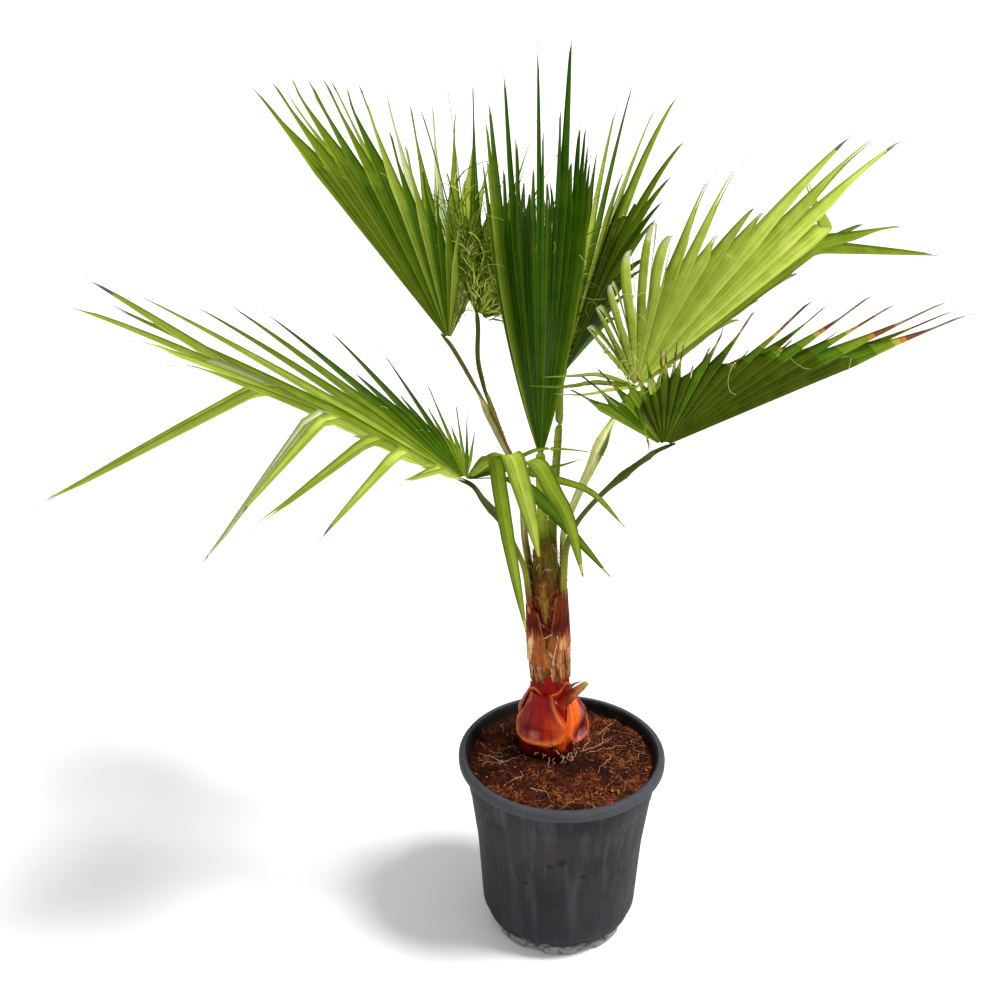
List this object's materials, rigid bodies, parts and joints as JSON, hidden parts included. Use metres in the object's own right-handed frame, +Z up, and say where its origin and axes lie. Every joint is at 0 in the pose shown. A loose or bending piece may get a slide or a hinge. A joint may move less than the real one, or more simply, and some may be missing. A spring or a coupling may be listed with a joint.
{
  "type": "potted palm",
  "caption": "Young washingtonia fan palm with folded, split fronds on toothed petioles and a swollen orange leaf base, in a round dark nursery pot.",
  "frame": {"origin": "centre of the flat underside of the pot", "axes": "+Z up along the pot's axis, -Y towards the side that the picture shows, +X to the right in the picture"},
  "size_m": [1.2563, 0.7929, 1.3466],
  "materials": {
    "pot_plastic": "dusty matt, charcoal",
    "potting_soil": "moist, fibrous",
    "trunk_fibre": "fibrous, red-brown to olive",
    "red_leaf_base": "glossy red with orange rims",
    "papery_sheath": "dry, papery tan",
    "petiole": "smooth olive green",
    "bright_blade": "satin yellow-green",
    "dark_blade": "satin deep green"
  },
  "bodies": {
    "root": {"pot": "pot_plastic", "soil": "potting_soil", "trunk": "trunk_fibre", "old_base_front": "red_leaf_base", "old_base_right": "red_leaf_base", "old_base_back": "red_leaf_base", "papery_base_left": "papery_sheath", "papery_base_right": "papery_sheath", "papery_base_back": "papery_sheath", "cut_leaf_stub": "papery_sheath", "petiole_upper_left": "petiole", "frond_upper_left": "bright_blade", "petiole_centre": "petiole", "frond_centre": "dark_blade", "petiole_back_left": "petiole", "frond_back_left": "bright_blade", "petiole_back_right": "petiole", "frond_back_right": "bright_blade", "petiole_right": "petiole", "frond_right": "bright_blade", "petiole_low_right": "petiole", "frond_low_right": "dark_blade", "petiole_low_left": "petiole", "frond_low_left": "bright_blade", "frond_low_left_skirt": "bright_blade"}
  },
  "joints": []
}
